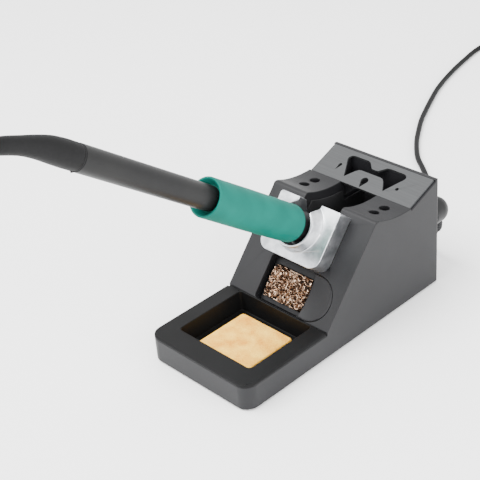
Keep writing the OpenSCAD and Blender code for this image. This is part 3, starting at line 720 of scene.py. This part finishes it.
class STATION_OT_wool(bpy.types.Operator):
    """Fills the window with curled brass ribbon"""
    bl_idname = "station.wool"
    bl_label = "Brass wool"

    def block(self):
        """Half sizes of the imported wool, and the place of its middle on the face."""
        turn = basis(OUT_OF_FACE)
        flat = turn.inverted()
        local = [flat @ v.co for v in NODES["brass_wool"].data.vertices]
        low = Vector([min(p[k] for p in local) for k in range(3)])
        high = Vector([max(p[k] for p in local) for k in range(3)])
        return (high - low) / 2, turn @ Matrix.Translation((low + high) / 2)

    def ribbon_line(self, sizes, half, chance):
        """One curled ribbon that stays in the upper part of the block."""
        drift = Vector((chance.uniform(-1, 1), chance.uniform(-1, 1), chance.uniform(-0.35, 0.35)))
        drift.normalize()
        side = drift.cross(Vector((chance.uniform(-1, 1), chance.uniform(-1, 1), 0.4))).normalized()
        other = drift.cross(side)
        centre = Vector((chance.uniform(-1, 1) * half.x, chance.uniform(-1, 1) * half.y,
                         half.z - chance.uniform(0.2, 1) ** 1.4 * 4.5 * MM))
        radius = sizes.curl * chance.uniform(0.55, 1.3)
        pace = chance.uniform(0.25, 0.6) * sizes.curl
        phase = chance.uniform(0, math.tau)
        line = []
        for i in range(sizes.points):
            turn = phase + i * 0.62
            wobble = noise.noise_vector(centre / (3 * MM) + drift * i * 0.2) * 0.9 * MM
            point = (centre + drift * pace * (i - sizes.points / 2) * 0.62
                     + side * radius * math.cos(turn) + other * radius * math.sin(turn) + wobble)
            line.append(Vector([max(-h, min(h, p)) for p, h in zip(point, half)]))
        return line

    def execute(self, context):
        sizes = context.scene.station_wool
        chance = random.Random(sizes.seed)
        noise.seed_set(sizes.seed)
        half, place = self.block()
        curve = bpy.data.curves.new("ribbons", "CURVE")
        curve.dimensions = "3D"
        curve.extrude = sizes.ribbon
        curve.bevel_depth = sizes.ribbon / 6
        curve.bevel_resolution = 0
        curve.twist_mode = "MINIMUM"
        room = half - Vector((1, 1, 1)) * sizes.ribbon
        for _ in range(sizes.strands):
            line = self.ribbon_line(sizes, room, chance)
            strip = curve.splines.new("POLY")
            strip.points.add(len(line) - 1)
            tilt = chance.uniform(0, math.tau)
            for point, spot in zip(strip.points, line):
                point.co = (*spot, 1)
                point.tilt = tilt
        maker = bpy.data.objects.new("ribbons", curve)
        bm = bmesh.new()
        bm.from_mesh(maker.to_mesh())
        bpy.data.objects.remove(maker)
        bm.transform(place)
        to_piece(bm, "brass_ribbons", brass_ribbon(), "wool", ("brass_wool",), 50)

        # the imported inside, which starts below the ribbons and fills the gaps between them; its dark
        # brown is painted shade
        core = bmesh.new()
        bmesh.ops.create_cube(core, size=2)
        bmesh.ops.subdivide_edges(core, edges=core.edges, cuts=9, use_grid_fill=True)
        depth = 3.2 * MM
        bmesh.ops.scale(core, vec=half - Vector((0.6 * MM, 0.6 * MM, depth / 2)), verts=core.verts)
        bmesh.ops.translate(core, vec=(0, 0, -depth / 2), verts=core.verts)
        for vert in core.verts:
            vert.co += noise.noise_vector(vert.co / (2.5 * MM)) * 0.5 * MM
            vert.co = Vector([max(-h, min(h, p)) for p, h in zip(vert.co, half)])
        core.transform(place)
        to_piece(core, "packed_wool", painted_shade_brass_core(), "wool", (), 180)
        return {"FINISHED"}


class STATION_OT_holder(bpy.types.Operator):
    """Finishes the cast holder of the iron"""
    bl_idname = "station.holder"
    bl_label = "Iron holder"

    def execute(self, context):
        eased_copy("iron_holder", "cast_holder", cast_zinc(), "stand", 0.4 * MM, 30)
        return {"FINISHED"}


class STATION_OT_tip_plate(bpy.types.Operator):
    """Finishes the metal plate for changing tips"""
    bl_idname = "station.tip_plate"
    bl_label = "Tip plate"

    def execute(self, context):
        eased_copy("tip_plate", "tip_change_plate", satin_plate(), "stand", 0.15 * MM)
        return {"FINISHED"}


class STATION_OT_gland(bpy.types.Operator):
    """Makes the lead's gland and its strain relief"""
    bl_idname = "station.gland"
    bl_label = "Gland"

    # from inside the cap to the lead's start, in millimetres
    relief = [(28, 94.5, 41), (28, 95.84, 38.09), (28, 97.19, 35.18), (28, 98.53, 32.26),
              (27.4, 99.5, 29), (26.2, 100.9, 26), (24.4, 101.7, 23.4)]

    def execute(self, context):
        nylon = moulded_abs("moulded_nylon", "#121213", "#19191a", 0.4)
        eased_copy("gland_cap", "gland_dome", nylon, "stand", 0.3 * MM)
        eased_copy("gland_body", "gland_hexagon", nylon, "stand", 0.25 * MM)
        paint(["gland_locknut"], nylon)
        line = flowing([Vector(p) * MM for p in self.relief], 8)
        reach = len(line) - 1
        radii = []
        for i in range(len(line)):
            part = i / reach
            ring = 0.22 * MM * max(0.0, math.sin(part * 9 * math.tau)) if 0.3 < part < 0.93 else 0
            radii.append((3.45 - 0.95 * part) * MM - 0.2 * MM + ring)
        to_piece(hose(line, radii, 32), "gland_sleeve",
                 soft_rubber("moulded_sleeve_rubber", "#1d1d1f", "#272729"),
                 "stand", ("gland_boot",), 50)
        return {"FINISHED"}


class STATION_OT_handle(bpy.types.Operator):
    """Makes the iron's handle, its foam grip and its nose collar"""
    bl_idname = "station.handle"
    bl_label = "Handle"

    def execute(self, context):
        sizes = context.scene.station_grip
        look = context.scene.station_finishes
        abs_handle = moulded_abs("handle_abs", look.handle_dark, look.handle_light, 0.42, 0.16)
        paint(["handle_shaft"], abs_handle)
        eased_copy("front_collar", "nose_collar", moulded_abs("black_phenolic", "#19191b", "#222224"),
                   "iron", 0.25 * MM)

        # the grip's own line, from its nose to its open back end
        turn = basis(OUT_OF_HOLDER)
        flat = turn.inverted()
        local = [flat @ v.co for v in NODES["foam_grip"].data.vertices]
        start, end = min(p.z for p in local), max(p.z for p in local)
        outer = max(abs(p.x - middle("foam_grip").x) for p in local)
        axis_y = sum(p.y for p in local) / len(local)
        shaft = (corners("handle_shaft")[1].x - corners("handle_shaft")[0].x) / 2
        nose_bore = (corners("front_collar")[1].x - corners("front_collar")[0].x) / 2
        profile = [(shaft, start + 1 * MM), (nose_bore, start + 1 * MM), (nose_bore, start)]
        profile += arc(outer - sizes.nose, start + sizes.nose, sizes.nose, -90, 0, 8)
        length = end - start
        profile += [(outer + 0.12 * MM * math.sin(math.pi * k / 8), start + length * (0.08 + 0.1 * k))
                    for k in range(9)]
        profile += arc(outer - sizes.lip, end - sizes.lip, sizes.lip, 0, 150, 8)
        profile += [(shaft + 0.4 * MM, end - sizes.lip_depth), (shaft, end - sizes.lip_depth)]
        profile += [profile[0]]
        place = turn @ Matrix.Translation((0, axis_y, 0))
        grip = to_piece(turned(profile, place, sizes.steps), "foam_sleeve", foam_rubber(), "iron",
                        ("foam_grip",), 50)
        return {"FINISHED"}


class STATION_OT_cable_boot(bpy.types.Operator):
    """Makes the bent rubber boot at the handle's end"""
    bl_idname = "station.cable_boot"
    bl_label = "Cable boot"

    # fall below the iron's line, distance along it, and radius, in millimetres
    bend = [(0, 0, 7), (0, 4, 7), (0, 8, 7), (0.2, 16, 6.6), (1, 24, 5.6), (2.4, 32, 4.7), (4.4, 40, 4.4),
            (7, 48, 4.1), (10.2, 56, 3.8)]

    def execute(self, context):
        turn = basis(OUT_OF_HOLDER)
        flat = turn.inverted()
        ring = [flat @ v.co for v in NODES["boot_ring"].data.vertices]
        start = max(p.z for p in ring)
        axis_y = sum(p.y for p in ring) / len(ring)
        line = flowing([(0, axis_y - fall * MM, start + along * MM) for fall, along, _ in self.bend], 6)
        radii = [p.x for p in flowing([(r * MM, 0, 0) for _, _, r in self.bend], 6)]
        radii[0] -= 0.25 * MM
        bm = hose(line, radii, 40)
        bm.transform(turn)
        heading = (turn @ (line[-1] - line[-2])).normalized()
        bm.faces.ensure_lookup_table()
        mouth = max(bm.faces, key=lambda f: (f.normal.dot(heading) > 0.9, len(f.verts)))
        bmesh.ops.inset_region(bm, faces=[mouth], thickness=1.3 * MM)
        hole = bmesh.ops.extrude_discrete_faces(bm, faces=[mouth])["faces"][0]
        bmesh.ops.translate(bm, vec=-heading * 5 * MM, verts=hole.verts)
        to_piece(bm, "strain_relief_boot", soft_rubber("boot_rubber", "#060607", "#0a0a0b", 0.6),
                 "iron", ("cable_boot",), 50)
        paint(["boot_ring"], soft_rubber("seam_rubber", "#0e0e0f", "#161617"))
        return {"FINISHED"}


class STATION_OT_fittings(bpy.types.Operator):
    """Gives the screws, the feet and everything inside its real finish"""
    bl_idname = "station.fittings"
    bl_label = "Fittings"

    def execute(self, context):
        zinc = turned_metal("zinc_plated_steel", "#8f9398", "#c9ccd1")
        paint(["base_screws", "holder_screws", "holder_washers", "plate_screws"], zinc)
        paint(["ballast"], turned_metal("rolled_steel", "#5d5f62", "#7a7c80", 0.5))
        paint(["feet"], soft_rubber("foot_rubber", "#151517", "#1e1e20"))
        paint(["earth_lug", "contact_springs"], turned_metal("bright_brass", "#b8923f", "#e2bf6d"))
        paint(["inner_wire"], soft_rubber("wire_pvc", "#8e2222", "#b03030", 0.35))
        paint(["contact_block"], steatite())
        paint(["heater_tube"], turned_metal("stainless_tube", "#9b9da0", "#c4c6c9"))
        paint(["soldering_tip"], turned_metal("tinned_copper", "#c2c4c8", "#e6e8ea", 0.2))
        return {"FINISHED"}


MAKERS = ["stage", "lead", "body", "sponge", "wool", "holder", "tip_plate", "gland", "handle",
          "cable_boot", "fittings"]


class STATION_PT_panel(bpy.types.Panel):
    """Lists the station's pieces"""
    bl_label = "Soldering Station"
    bl_idname = "STATION_PT_panel"
    bl_space_type = "VIEW_3D"
    bl_region_type = "UI"
    bl_category = "Station"

    def draw(self, context):
        for name in MAKERS:
            self.layout.operator("station." + name)
        for group in GROUPS:
            box = self.layout.box()
            box.label(text=group.replace("_", " "))
            for field in getattr(context.scene, group).bl_rna.properties.keys()[2:]:
                box.prop(getattr(context.scene, group), field)


GROUPS = {
    "station_stage": StageSizes,
    "station_lead": LeadSizes,
    "station_sponge": SpongeSizes,
    "station_wool": WoolSizes,
    "station_grip": GripSizes,
    "station_finishes": Finishes,
}
CLASSES = [*GROUPS.values(), STATION_OT_stage, STATION_OT_lead, STATION_OT_body, STATION_OT_sponge,
           STATION_OT_wool, STATION_OT_holder, STATION_OT_tip_plate, STATION_OT_gland,
           STATION_OT_handle, STATION_OT_cable_boot, STATION_OT_fittings, STATION_PT_panel]


def register():
    for made in CLASSES:
        bpy.utils.register_class(made)
    for name, group in GROUPS.items():
        setattr(bpy.types.Scene, name, PointerProperty(type=group))


def unregister():
    for name in GROUPS:
        delattr(bpy.types.Scene, name)
    for made in reversed(CLASSES):
        bpy.utils.unregister_class(made)


def main():
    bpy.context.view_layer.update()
    register()
    for name in MAKERS:
        getattr(bpy.ops.station, name)()


if __name__ == "__main__":
    main()
